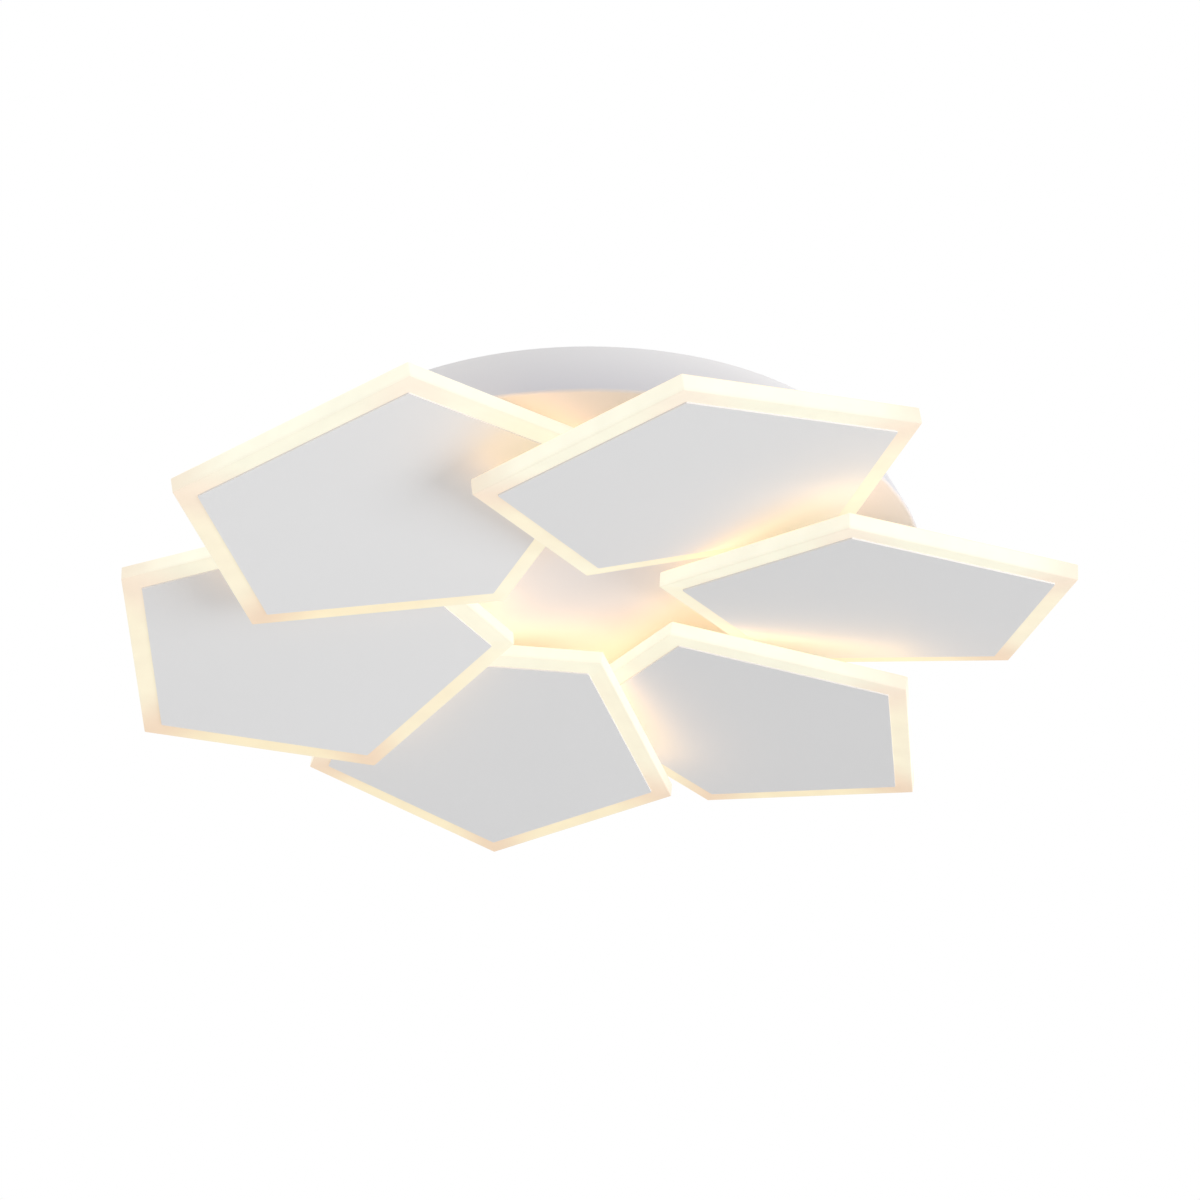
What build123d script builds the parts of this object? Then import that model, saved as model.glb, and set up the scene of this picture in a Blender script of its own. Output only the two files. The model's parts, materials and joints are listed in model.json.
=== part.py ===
from build123d import *
import os
from math import atan2, cos, degrees, pi, radians, sin, sqrt, tan

# Flush mount ceiling light: a shallow round canopy pan carries six tilted pentagon petals.
# The origin is the middle of the ceiling plane, +Z is up, and the light hangs below it.
# Sizes are millimetres and degrees.

# Canopy pan, which reaches past the circle of the petals' pivots and flares downward
PAN_RIM_REACH = 16.5
PAN_DEPTH = 43.0
PAN_FLARE = 18.0
PAN_SHEET = 1.0
PAN_HEM = 3.0
PAN_EDGE_RADIUS = 1.6

# Petal layout
PETAL_COUNT = 6
FIRST_PETAL_ANGLE = -150.0
# How far each petal's width reaches over its neighbour's, so the pivots' circle follows the petals.
PETAL_LAP = 36.721
# Clear height between the pan and the highest corner of a petal.
PETAL_GAP = 2.881
PETAL_TILT = 10.5
# Direction in which a petal rises, counted from its own outward direction.
RISE_DIRECTION = 120.0
# How far each petal stands turned on its pivot in the photograph.
PETAL_TURNS = (-1.7, -4.6, 2.9, 0.4, 1.5, -1.0)
PETAL_TURN_LIMIT = 8.0

# Petal shell: the stack runs from the visible face plate towards the ceiling
PETAL_CORNERS = 5
PETAL_SIDE = 160.0
GUIDE_THICKNESS = 10.0
GUIDE_CORNER_RADIUS = 1.0
GUIDE_EDGE_CHAMFER = 0.5
FACE_SHEET = 1.0
FACE_INSET = 12.0
SHEET_CORNER_RADIUS = 1.0
GUIDE_WALL = 22.0
POCKET_FLOOR = 4.0
BACK_SHEET = 1.2
BACK_INSET = 12.0
STOP_PIP_RADIUS = 2.0
STOP_PIP_DISTANCE = 17.0

# Light source of a petal
BOARD_SHEET = 1.2
BOARD_GAP = 1.0
BOARD_BORE_RADIUS = 12.0
CHIP_LENGTH = 3.5
CHIP_WIDTH = 2.8
CHIP_HEIGHT = 0.8
CHIPS_PER_SIDE = 8
CHIP_PITCH = 13.0
CHIP_EDGE_DISTANCE = 5.0

# Self-tapping screws of the back plates
BACK_SCREW_CORNER_DISTANCE = 22.1
BACK_SCREW_RADIUS = 1.45
BACK_SCREW_HEAD_RADIUS = 2.75
BACK_SCREW_HEAD_HEIGHT = 1.6
BACK_SCREW_DEPTH = 5.5
BACK_SCREW_TIP_SPACE = 0.6

# Hollow pivot bolt, nut and washer
PIVOT_RADIUS = 5.0
PIVOT_BORE_RADIUS = 2.6
PIVOT_HEAD_RADIUS = 9.0
PIVOT_HEAD_HEIGHT = 2.0
PIVOT_TIP_PROUD = 1.5
WASHER_RADIUS = 12.0
WASHER_THICKNESS = 1.0
NUT_ACROSS_FLATS = 15.0
NUT_HEIGHT = 5.0

# Folded bracket between the pan and a petal
BRACKET_SHEET = 2.0
BRACKET_WIDTH = 46.0
BRACKET_PAD_REACH = 19.0
BRACKET_WEB_DISTANCE = 30.0
BRACKET_FOOT_LENGTH = 26.0
BRACKET_BEND_RADIUS = 1.5
BRACKET_SCREW_SPACING = 26.0

# Machine screws that hold the brackets to the pan
PAN_SCREW_RADIUS = 2.0
PAN_SCREW_HEAD_RADIUS = 3.8
PAN_SCREW_HEAD_HEIGHT = 2.4
PAN_SCREW_LENGTH = 6.0
DRIVE_RECESS_WIDTH = 0.9
DRIVE_RECESS_DEPTH = 1.0

# Studs welded to the pan's floor, with nuts for the driver, the terminal block and the earth tag
STUD_RADIUS = 2.0
STUD_LENGTH = 8.0
STUD_NUT_ACROSS_FLATS = 7.0
STUD_NUT_HEIGHT = 3.2

# Ceiling crossbar and its side screws
CROSSBAR_WIDTH = 30.0
CROSSBAR_SHEET = 2.0
CROSSBAR_FLANGE = 5.0
CROSSBAR_FLANGE_LENGTH = 330.0
CROSSBAR_TAB_HEIGHT = 24.0
CROSSBAR_TAB_WIDTH = 22.0
CEILING_SLOT_SPACING = 90.0
CEILING_SLOT_LENGTH = 20.0
CEILING_SLOT_WIDTH = 5.0
CABLE_HOLE_RADIUS = 7.0
SIDE_SCREW_DROP = 15.0
SIDE_SCREW_RADIUS = 2.0
SIDE_SCREW_TIP = 5.0
SIDE_SCREW_HEAD_RADIUS = 4.5
SIDE_SCREW_HEAD_HEIGHT = 6.0
SIDE_SCREW_COLLAR = 1.0
KNURL_COUNT = 20
KNURL_RADIUS = 0.45

# Driver, the boxed power supply
DRIVER_LENGTH = 150.0
DRIVER_WIDTH = 54.0
DRIVER_HEIGHT = 23.0
DRIVER_WALL = 1.6
DRIVER_CENTRE_Y = 58.0
DRIVER_EAR_LENGTH = 11.0
DRIVER_EAR_WIDTH = 12.0
DRIVER_EAR_THICKNESS = 2.0
DRIVER_EAR_OFFSET = 19.0
DRIVER_PORT_PITCH = 8.0
DRIVER_PORT_HEIGHT = 7.0
DRIVER_COVER_LIP = 2.5
DRIVER_VENT_COUNT = 9
DRIVER_VENT_LENGTH = 30.0
DRIVER_VENT_WIDTH = 2.0
DRIVER_VENT_PITCH = 7.0
DRIVER_BOARD_SHEET = 1.6
DRIVER_BOARD_LIFT = 9.0
DRIVER_POST_RADIUS = 2.5
DRIVER_BOARD_GAP = 1.5
TRANSFORMER_SIZE = 20.0
TRANSFORMER_HEIGHT = 9.0
TRANSFORMER_X = -12.0
CAPACITOR_RADIUS = 4.5
CAPACITOR_LENGTH = 14.0
CAPACITOR_XS = (-50.0, 30.0, 52.0)

# Terminal block and earth point
TERMINAL_CENTRE_Y = -52.0
TERMINAL_PITCH = 10.0
TERMINAL_WAYS = 3
TERMINAL_DEPTH = 20.0
TERMINAL_HEIGHT = 15.0
TERMINAL_EAR_LENGTH = 10.0
TERMINAL_EAR_THICKNESS = 2.0
TERMINAL_BORE_RADIUS = 1.9
TERMINAL_BORE_HEIGHT = 6.0
TERMINAL_SCREW_RADIUS = 1.8
TERMINAL_SCREW_LENGTH = 4.0
TERMINAL_SCREW_SUNK = 1.5
TERMINAL_SCREW_OFFSET = 5.0
EARTH_POINT = (52.0, -52.0)
EARTH_TAG_RADIUS = 6.0
EARTH_TAG_SHEET = 0.8
EARTH_LEAD_LAP = 1.5

# Leads and their grommets
LEAD_RADIUS = 1.1
LEAD_LIFT = 0.3
LEAD_BEND = 10.0
LEAD_EXIT = 16.0
LEAD_POINT_STEP = 32.0
LEAD_SWAY = 5.0
LEAD_CREST = 9.0
LEAD_CREST_BEND = 4.0
LEAD_TAIL = 14.0
LEAD_TAIL_BEND = 3.0
LEAD_TAIL_HEIGHT = 7.4
GROMMET_NECK_RADIUS = 5.0
GROMMET_FLANGE_RADIUS = 7.0
GROMMET_FLANGE_THICKNESS = 1.4
GROMMET_BORE_RADIUS = 2.6

# Share that decides which end of the driver feeds a petal on the middle line.
TIE_SHARE = 0.01

# Clearances
SLIDE_GAP = 0.3
THREAD_GAP = 0.05
PIVOT_GAP = 0.05
SCREW_HOLE_GAP = 0.25

GUIDE_APOTHEM = PETAL_SIDE / 2 / tan(pi / PETAL_CORNERS)
GUIDE_CORNER = PETAL_SIDE / 2 / sin(pi / PETAL_CORNERS)
PETAL_CENTRE_RADIUS = 2 * GUIDE_APOTHEM - PETAL_LAP
PAN_RADIUS = PETAL_CENTRE_RADIUS + PAN_RIM_REACH
PAN_LEAN = degrees(atan2(PAN_FLARE, PAN_DEPTH))
PAN_FLOOR_Z = -PAN_DEPTH + PAN_SHEET
CORNER_ANGLE = 360 / PETAL_CORNERS
PETAL_PITCH = 360 / PETAL_COUNT

# Heights in a petal's own stack, counted from the visible side of its face plate
GUIDE_FRONT = FACE_SHEET
GUIDE_BACK = GUIDE_FRONT + GUIDE_THICKNESS
POCKET_BOTTOM = GUIDE_FRONT + POCKET_FLOOR
BACK_TOP = GUIDE_BACK + BACK_SHEET
PAD_BOTTOM = BACK_TOP + WASHER_THICKNESS
PAD_TOP = PAD_BOTTOM + BRACKET_SHEET
NUT_TOP = PAD_TOP + NUT_HEIGHT

# Height of a petal's highest corner above its centre, and how far its centre hangs below the ceiling
PETAL_RISE = GUIDE_CORNER * sin(radians(PETAL_TILT)) + GUIDE_BACK * cos(radians(PETAL_TILT))
PETAL_DROP = PAN_DEPTH + PETAL_GAP + PETAL_RISE


def pentagon(inset, corner_radius):
    """Regular pentagon whose sides lie inset inside the light guide's sides, one corner uphill."""
    outline = RegularPolygon(GUIDE_APOTHEM - inset, PETAL_CORNERS, major_radius=False)
    return fillet(outline.vertices(), corner_radius)


def slab(outline, bottom, top):
    """Flat piece of one outline between two heights of the stack."""
    return extrude(Pos(0, 0, bottom) * outline, top - bottom)


def rod(radius, bottom, top):
    """Round bar along Z between two heights."""
    return Pos(0, 0, (bottom + top) / 2) * Cylinder(radius, top - bottom)


def petal_angle(index):
    return FIRST_PETAL_ANGLE + PETAL_PITCH * index


def petal_frame(index):
    """Frame of a petal's bracket: X points uphill, Z towards the ceiling along the pivot."""
    angle = radians(petal_angle(index))
    uphill = angle + radians(RISE_DIRECTION)
    tilt = radians(PETAL_TILT)
    centre = (PETAL_CENTRE_RADIUS * cos(angle), PETAL_CENTRE_RADIUS * sin(angle), -PETAL_DROP)
    slope = (cos(tilt) * cos(uphill), cos(tilt) * sin(uphill), sin(tilt))
    normal = (-sin(tilt) * cos(uphill), -sin(tilt) * sin(uphill), cos(tilt))
    return Plane(origin=centre, x_dir=slope, z_dir=normal).location


def level_frame(index):
    """Upright frame under a petal's centre: X points uphill but stays level, Z is up."""
    angle = petal_angle(index)
    centre = (PETAL_CENTRE_RADIUS * cos(radians(angle)), PETAL_CENTRE_RADIUS * sin(radians(angle)), 0)
    return Pos(*centre) * Rot(0, 0, angle + RISE_DIRECTION)


def turned_frame(index):
    """Frame of the petal itself, turned on its pivot as it stands at rest."""
    return petal_frame(index) * Rot(0, 0, PETAL_TURNS[index])


def axis_shift(height):
    """Level distance from a petal's centre to its pivot axis at a height under the ceiling."""
    return -(height + PETAL_DROP) * tan(radians(PETAL_TILT))


# Petal pieces, each in the petal's own stack


def make_face_plate():
    return slab(pentagon(FACE_INSET, SHEET_CORNER_RADIUS), 0, FACE_SHEET)


def make_light_guide():
    body = slab(pentagon(0, GUIDE_CORNER_RADIUS), GUIDE_FRONT, GUIDE_BACK)
    rims = body.edges().group_by(Axis.Z)
    body = chamfer(rims[0] + rims[-1], GUIDE_EDGE_CHAMFER)
    body -= slab(pentagon(GUIDE_WALL, GUIDE_CORNER_RADIUS), POCKET_BOTTOM, GUIDE_BACK)
    hole_bottom = GUIDE_BACK - BACK_SCREW_DEPTH - BACK_SCREW_TIP_SPACE
    for spot in back_screw_spots():
        body -= spot * rod(BACK_SCREW_RADIUS + THREAD_GAP, hole_bottom, GUIDE_BACK)
    return body


def back_screw_spots():
    return PolarLocations(GUIDE_CORNER - BACK_SCREW_CORNER_DISTANCE, PETAL_CORNERS)


def make_back_plate():
    body = slab(pentagon(BACK_INSET, SHEET_CORNER_RADIUS), GUIDE_BACK, BACK_TOP)
    body -= rod(PIVOT_RADIUS + PIVOT_GAP, GUIDE_BACK, BACK_TOP)
    for spot in back_screw_spots():
        body -= spot * rod(BACK_SCREW_RADIUS + SCREW_HOLE_GAP, GUIDE_BACK, BACK_TOP)
    pip_top = PAD_TOP - SLIDE_GAP
    body += Pos(0, STOP_PIP_DISTANCE, 0) * rod(STOP_PIP_RADIUS, BACK_TOP, pip_top)
    return body


def make_back_screws():
    """Pan head self-tapping screws, one at each corner of the back plate."""
    shank = rod(BACK_SCREW_RADIUS, GUIDE_BACK - BACK_SCREW_DEPTH, BACK_TOP)
    head = rod(BACK_SCREW_HEAD_RADIUS, BACK_TOP, BACK_TOP + BACK_SCREW_HEAD_HEIGHT)
    head = fillet(head.edges().group_by(Axis.Z)[-1], BACK_SCREW_HEAD_HEIGHT / 2)
    screw = shank + head - cross_recess(BACK_TOP + BACK_SCREW_HEAD_HEIGHT, BACK_SCREW_HEAD_RADIUS)
    return [spot * screw for spot in back_screw_spots()]


def cross_recess(top, head_radius):
    """Cross shaped driver recess sunk into a screw head's top."""
    middle = top - DRIVE_RECESS_DEPTH / 2
    arm = Pos(0, 0, middle) * Box(head_radius, DRIVE_RECESS_WIDTH, DRIVE_RECESS_DEPTH)
    return arm + Rot(0, 0, 90) * arm


def make_led_board():
    outline = pentagon(GUIDE_WALL + BOARD_GAP, SHEET_CORNER_RADIUS)
    board = slab(outline, GUIDE_BACK - BOARD_SHEET, GUIDE_BACK)
    return board - rod(BOARD_BORE_RADIUS, GUIDE_BACK - BOARD_SHEET, GUIDE_BACK)


def make_led_chips():
    """Rows of light chips under the board, along each side of the pocket."""
    distance = GUIDE_APOTHEM - GUIDE_WALL - BOARD_GAP - CHIP_EDGE_DISTANCE
    middle = GUIDE_BACK - BOARD_SHEET - CHIP_HEIGHT / 2
    chips = []
    for side in range(PETAL_CORNERS):
        turn = Rot(0, 0, CORNER_ANGLE * (side + 0.5))
        for step in range(CHIPS_PER_SIDE):
            along = (step - (CHIPS_PER_SIDE - 1) / 2) * CHIP_PITCH
            chips.append(turn * Pos(distance, along, middle) * Box(CHIP_WIDTH, CHIP_LENGTH, CHIP_HEIGHT))
    return chips


# Pivot hardware, in the stack of the bracket


def make_pivot_bolt():
    head = rod(PIVOT_HEAD_RADIUS, GUIDE_BACK - PIVOT_HEAD_HEIGHT, GUIDE_BACK)
    head = chamfer(head.edges().group_by(Axis.Z)[0], PIVOT_HEAD_HEIGHT / 4)
    shank = rod(PIVOT_RADIUS, GUIDE_BACK, NUT_TOP + PIVOT_TIP_PROUD)
    shank = chamfer(shank.edges().group_by(Axis.Z)[-1], PIVOT_TIP_PROUD / 2)
    bore = rod(PIVOT_BORE_RADIUS, GUIDE_BACK - PIVOT_HEAD_HEIGHT, NUT_TOP + PIVOT_TIP_PROUD)
    return head + shank - bore


def make_friction_washer():
    return rod(WASHER_RADIUS, BACK_TOP, PAD_BOTTOM) - rod(PIVOT_RADIUS + THREAD_GAP, BACK_TOP, PAD_BOTTOM)


def hex_nut(across_flats, thread_radius, bottom, top):
    """Hexagon nut whose upper corners are turned down to a crown."""
    nut = slab(RegularPolygon(across_flats / 2, 6, major_radius=False), bottom, top)
    corner_radius = across_flats / 2 / cos(pi / 6)
    crown = rod(corner_radius, bottom, top)
    crown = chamfer(crown.edges().group_by(Axis.Z)[-1], corner_radius - across_flats / 2)
    return (nut & crown) - rod(thread_radius + THREAD_GAP, bottom, top)


def make_lock_nut():
    return hex_nut(NUT_ACROSS_FLATS, PIVOT_RADIUS, PAD_TOP, NUT_TOP)


def stop_slot():
    """Curved slot in which the back plate's pip travels between the two turn limits."""
    half_width = STOP_PIP_RADIUS + SLIDE_GAP
    ring = rod(STOP_PIP_DISTANCE + half_width, PAD_BOTTOM, PAD_TOP)
    ring -= rod(STOP_PIP_DISTANCE - half_width, PAD_BOTTOM, PAD_TOP)
    reach = 2 * STOP_PIP_DISTANCE
    spread = reach * tan(radians(PETAL_TURN_LIMIT))
    corners = [(0, 0), (spread, reach), (-spread, reach)]
    wedge = slab(make_face(Polyline(corners, close=True)), PAD_BOTTOM, PAD_TOP)
    slot = ring & wedge
    for side in (-1, 1):
        end = Rot(0, 0, side * PETAL_TURN_LIMIT) * Pos(0, STOP_PIP_DISTANCE, 0)
        slot += end * rod(half_width, PAD_BOTTOM, PAD_TOP)
    return slot


def bracket_profile():
    """Z shaped section of a bracket in the level frame's X and Z."""
    tilt = radians(PETAL_TILT)
    foot_top = -PAN_DEPTH
    foot_bottom = foot_top - BRACKET_SHEET
    web_in = BRACKET_WEB_DISTANCE
    web_out = web_in + BRACKET_SHEET
    foot_end = web_in + BRACKET_FOOT_LENGTH

    def pad_point(along, stack):
        return (along * cos(tilt) - stack * sin(tilt), along * sin(tilt) + stack * cos(tilt) - PETAL_DROP)

    def pad_height(level, stack):
        along = (level + stack * sin(tilt)) / cos(tilt)
        return (level, along * sin(tilt) + stack * cos(tilt) - PETAL_DROP)

    corners = [
        pad_point(-BRACKET_PAD_REACH, PAD_BOTTOM),
        pad_height(web_out, PAD_BOTTOM),
        (web_out, foot_bottom),
        (foot_end, foot_bottom),
        (foot_end, foot_top),
        (web_in, foot_top),
        pad_height(web_in, PAD_TOP),
        pad_point(-BRACKET_PAD_REACH, PAD_TOP),
    ]
    outline = Plane.XZ * make_face(Polyline(corners, close=True))
    outer = BRACKET_BEND_RADIUS + BRACKET_SHEET
    for corner, radius in ((1, outer), (2, BRACKET_BEND_RADIUS), (5, outer), (6, BRACKET_BEND_RADIUS)):
        spot = Vector(corners[corner][0], 0, corners[corner][1])
        bend = min(outline.vertices(), key=lambda v: (Vector(*v) - spot).length)
        outline = fillet([bend], radius)
    return outline


def make_bracket(index):
    level = level_frame(index)
    body = extrude(bracket_profile(), BRACKET_WIDTH / 2, both=True)
    for spot in foot_screw_spots():
        hole = rod(PAN_SCREW_RADIUS + THREAD_GAP, -PAN_DEPTH - BRACKET_SHEET, -PAN_DEPTH)
        body -= spot * hole
    body = level * body
    pivot_hole = rod(PIVOT_RADIUS + THREAD_GAP, PAD_BOTTOM, PAD_TOP)
    return body - petal_frame(index) * (pivot_hole + stop_slot())


def foot_screw_spots():
    foot_middle = BRACKET_WEB_DISTANCE + (BRACKET_SHEET + BRACKET_FOOT_LENGTH) / 2 + PAN_SCREW_RADIUS
    return [Pos(foot_middle, side * BRACKET_SCREW_SPACING / 2, 0) for side in (-1, 1)]


# Canopy pan and ceiling crossbar


def pan_radius(height):
    """Outer radius of the pan's leaning wall at a height under the ceiling."""
    return PAN_RADIUS - height * tan(radians(PAN_LEAN))


def pan_cone(bottom, top, inset, edge_radius):
    """Solid cone parallel to the pan's wall, its lower edge rounded."""
    body = Cone(pan_radius(bottom) - inset, pan_radius(top) - inset, top - bottom)
    body = Pos(0, 0, (bottom + top) / 2) * body
    return fillet(body.edges().group_by(Axis.Z)[0], edge_radius)


def make_pan():
    wall = PAN_SHEET / cos(radians(PAN_LEAN))
    body = pan_cone(-PAN_DEPTH, 0, 0, PAN_EDGE_RADIUS)
    body -= pan_cone(PAN_FLOOR_Z, -PAN_SHEET, wall, PAN_EDGE_RADIUS - PAN_SHEET)
    body -= rod(PAN_RADIUS - PAN_HEM, -PAN_SHEET, 0)
    for spot in bracket_screw_spots():
        body -= spot * rod(PAN_SCREW_RADIUS + SCREW_HOLE_GAP, -PAN_DEPTH, PAN_FLOOR_Z)
    for spot, _ in stud_seats():
        body += spot * rod(STUD_RADIUS, PAN_FLOOR_Z, PAN_FLOOR_Z + STUD_LENGTH)
    for spot in grommet_spots():
        body -= spot * rod(GROMMET_NECK_RADIUS, -PAN_DEPTH, PAN_FLOOR_Z)
    for frame in side_screw_frames():
        body -= frame * rod(SIDE_SCREW_RADIUS + SCREW_HOLE_GAP, -PAN_HEM, PAN_SHEET)
    return body


def side_screw_frames():
    """Frames of the side screws: the origin on the pan's wall, Z outward and square to it."""
    seat = Pos(pan_radius(-SIDE_SCREW_DROP), 0, -SIDE_SCREW_DROP) * Rot(0, 90 - PAN_LEAN, 0)
    return [Rot(0, 0, side) * seat for side in (0, 180)]


def grommet_spots():
    middle = -PAN_DEPTH + PAN_SHEET / 2
    return [level_frame(index) * Pos(axis_shift(middle), 0, 0) for index in range(PETAL_COUNT)]


def bracket_screw_spots():
    return [level_frame(index) * spot for index in range(PETAL_COUNT) for spot in foot_screw_spots()]


def stud_seats():
    """Spot of each stud on the pan's floor with the thickness of what its nut holds down."""
    seats = [(spot, DRIVER_EAR_THICKNESS) for spot in driver_ear_spots()]
    seats += [(spot, TERMINAL_EAR_THICKNESS) for spot in terminal_ear_spots()]
    return seats + [(Pos(*EARTH_POINT, 0), EARTH_TAG_SHEET)]


def driver_ear_spots():
    reach = DRIVER_LENGTH / 2 + DRIVER_EAR_LENGTH / 2
    return [
        Pos(-reach, DRIVER_CENTRE_Y + DRIVER_EAR_OFFSET, 0),
        Pos(reach, DRIVER_CENTRE_Y - DRIVER_EAR_OFFSET, 0),
    ]


def terminal_ear_spots():
    reach = TERMINAL_WAYS * TERMINAL_PITCH / 2 + TERMINAL_EAR_LENGTH / 2
    return [Pos(side * reach, TERMINAL_CENTRE_Y, 0) for side in (-1, 1)]


def crossbar_end():
    """Half length of the crossbar, whose leaning tabs pass the pan's hem."""
    foot = sqrt((PAN_RADIUS - PAN_HEM - SLIDE_GAP) ** 2 - (CROSSBAR_TAB_WIDTH / 2) ** 2)
    return foot - CROSSBAR_TAB_HEIGHT * tan(radians(PAN_LEAN))


def crossbar_tab():
    """End tab of the crossbar, bent down and outward as far as the pan's wall leans."""
    top = crossbar_end()
    foot = top + CROSSBAR_TAB_HEIGHT * tan(radians(PAN_LEAN))
    sheet = CROSSBAR_SHEET / cos(radians(PAN_LEAN))
    height = CROSSBAR_TAB_HEIGHT
    corners = [(top - sheet, 0), (top, 0), (foot, -height), (foot - sheet, -height)]
    outline = Plane.XZ * make_face(Polyline(corners, close=True))
    return extrude(outline, CROSSBAR_TAB_WIDTH / 2, both=True)


def side_screw_reach():
    """Length of a side screw from the pan's wall to its tip behind the crossbar's tab."""
    tab = (PAN_RADIUS - crossbar_end()) * cos(radians(PAN_LEAN))
    return tab + CROSSBAR_SHEET + SIDE_SCREW_TIP


def make_crossbar():
    end = crossbar_end()
    body = Pos(0, 0, -CROSSBAR_SHEET / 2) * Box(2 * end, CROSSBAR_WIDTH, CROSSBAR_SHEET)
    for side in (-1, 1):
        flange_y = side * (CROSSBAR_WIDTH - CROSSBAR_SHEET) / 2
        flange = Box(CROSSBAR_FLANGE_LENGTH, CROSSBAR_SHEET, CROSSBAR_FLANGE)
        body += Pos(0, flange_y, -CROSSBAR_FLANGE / 2) * flange
        slot = SlotOverall(CEILING_SLOT_LENGTH, CEILING_SLOT_WIDTH)
        body -= Pos(side * CEILING_SLOT_SPACING / 2, 0, 0) * slab(slot, -CROSSBAR_SHEET, 0)
    body -= rod(CABLE_HOLE_RADIUS, -CROSSBAR_SHEET, 0)
    for side, frame in zip((0, 180), side_screw_frames()):
        body += Rot(0, 0, side) * crossbar_tab()
        body -= frame * rod(SIDE_SCREW_RADIUS + THREAD_GAP, -side_screw_reach(), 0)
    return body


def make_side_screw():
    """Knurled thumb screw along +Z, its collar's seat at height zero."""
    shank = rod(SIDE_SCREW_RADIUS, -SLIDE_GAP - side_screw_reach(), 0)
    collar = rod(SIDE_SCREW_HEAD_RADIUS - 2 * KNURL_RADIUS, 0, SIDE_SCREW_COLLAR)
    head = rod(SIDE_SCREW_HEAD_RADIUS, SIDE_SCREW_COLLAR, SIDE_SCREW_HEAD_HEIGHT)
    head = chamfer(head.edges().filter_by(GeomType.CIRCLE), KNURL_RADIUS)
    for spot in PolarLocations(SIDE_SCREW_HEAD_RADIUS, KNURL_COUNT):
        head -= spot * rod(KNURL_RADIUS, SIDE_SCREW_COLLAR, SIDE_SCREW_HEAD_HEIGHT)
    return shank + collar + head


def make_side_screws():
    return [frame * Pos(0, 0, SLIDE_GAP) * make_side_screw() for frame in side_screw_frames()]


# Electrical pieces on the pan's floor


def driver_frame():
    return Pos(0, DRIVER_CENTRE_Y, PAN_FLOOR_Z)


def driver_ports():
    """Output openings of the driver: end of the case, offset across it, petal fed."""
    ports = []
    for end in (-1, 1):
        fed = [index for index in range(PETAL_COUNT) if petal_end(index) == end]
        fed.sort(key=lambda index: -sin(radians(petal_angle(index))))
        for order, index in enumerate(fed):
            ports.append((end, ((len(fed) - 1) / 2 - order) * DRIVER_PORT_PITCH, index))
    return ports


def petal_end(index):
    """End of the driver that feeds a petal; one petal on the middle line goes to each end."""
    angle = radians(petal_angle(index))
    return 1 if cos(angle) > TIE_SHARE * sin(angle) else -1


def supply_port_xs():
    return [(way - (TERMINAL_WAYS - 1) / 2) * TERMINAL_PITCH for way in range(TERMINAL_WAYS - 1)]


def make_driver_case():
    inner_length = DRIVER_LENGTH - 2 * DRIVER_WALL
    inner_width = DRIVER_WIDTH - 2 * DRIVER_WALL
    cover_bottom = DRIVER_HEIGHT - DRIVER_WALL
    body = Pos(0, 0, cover_bottom / 2) * Box(DRIVER_LENGTH, DRIVER_WIDTH, cover_bottom)
    body = fillet(body.edges().filter_by(Axis.Z), DRIVER_WALL)
    body -= Pos(0, 0, (cover_bottom + DRIVER_WALL) / 2) * Box(
        inner_length, inner_width, cover_bottom - DRIVER_WALL
    )
    for spot in driver_post_spots():
        body += spot * rod(DRIVER_POST_RADIUS, DRIVER_WALL, DRIVER_BOARD_LIFT)
    for ear, side in zip(driver_ear_spots(), (-1, 1)):
        ear_box = Box(DRIVER_EAR_LENGTH + DRIVER_WALL, DRIVER_EAR_WIDTH, DRIVER_EAR_THICKNESS)
        shift = Pos(-side * DRIVER_WALL / 2, 0, DRIVER_EAR_THICKNESS / 2)
        local = Pos(0, -DRIVER_CENTRE_Y, 0) * ear
        body += local * shift * ear_box
        body -= local * rod(STUD_RADIUS + SCREW_HOLE_GAP, 0, DRIVER_EAR_THICKNESS)
    port = rod(LEAD_RADIUS + SLIDE_GAP, -DRIVER_WALL, DRIVER_WALL)
    for end, row, _ in driver_ports():
        body -= Pos(end * (DRIVER_LENGTH / 2), row, DRIVER_PORT_HEIGHT) * Rot(0, 90, 0) * port
    for x in supply_port_xs():
        body -= Pos(x, -DRIVER_WIDTH / 2, DRIVER_PORT_HEIGHT) * Rot(90, 0, 0) * port
    return driver_frame() * body


def driver_post_spots():
    x = DRIVER_LENGTH / 2 - DRIVER_WALL - DRIVER_BOARD_GAP - DRIVER_POST_RADIUS
    y = DRIVER_WIDTH / 2 - DRIVER_WALL - DRIVER_BOARD_GAP - DRIVER_POST_RADIUS
    return GridLocations(2 * x, 2 * y, 2, 2)


def make_driver_cover():
    plate = Pos(0, 0, DRIVER_HEIGHT - DRIVER_WALL / 2) * Box(DRIVER_LENGTH, DRIVER_WIDTH, DRIVER_WALL)
    plate = fillet(plate.edges().filter_by(Axis.Z), DRIVER_WALL)
    lip_length = DRIVER_LENGTH - 2 * DRIVER_WALL - 2 * SLIDE_GAP
    lip_width = DRIVER_WIDTH - 2 * DRIVER_WALL - 2 * SLIDE_GAP
    lip = Box(lip_length, lip_width, DRIVER_COVER_LIP)
    lip -= Box(lip_length - 2 * DRIVER_WALL, lip_width - 2 * DRIVER_WALL, DRIVER_COVER_LIP)
    plate += Pos(0, 0, DRIVER_HEIGHT - DRIVER_WALL - DRIVER_COVER_LIP / 2) * lip
    vent = SlotOverall(DRIVER_VENT_LENGTH, DRIVER_VENT_WIDTH, rotation=90)
    for spot in GridLocations(DRIVER_VENT_PITCH, 1, DRIVER_VENT_COUNT, 1):
        plate -= spot * slab(vent, DRIVER_HEIGHT - DRIVER_WALL, DRIVER_HEIGHT)
    return driver_frame() * plate


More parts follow.
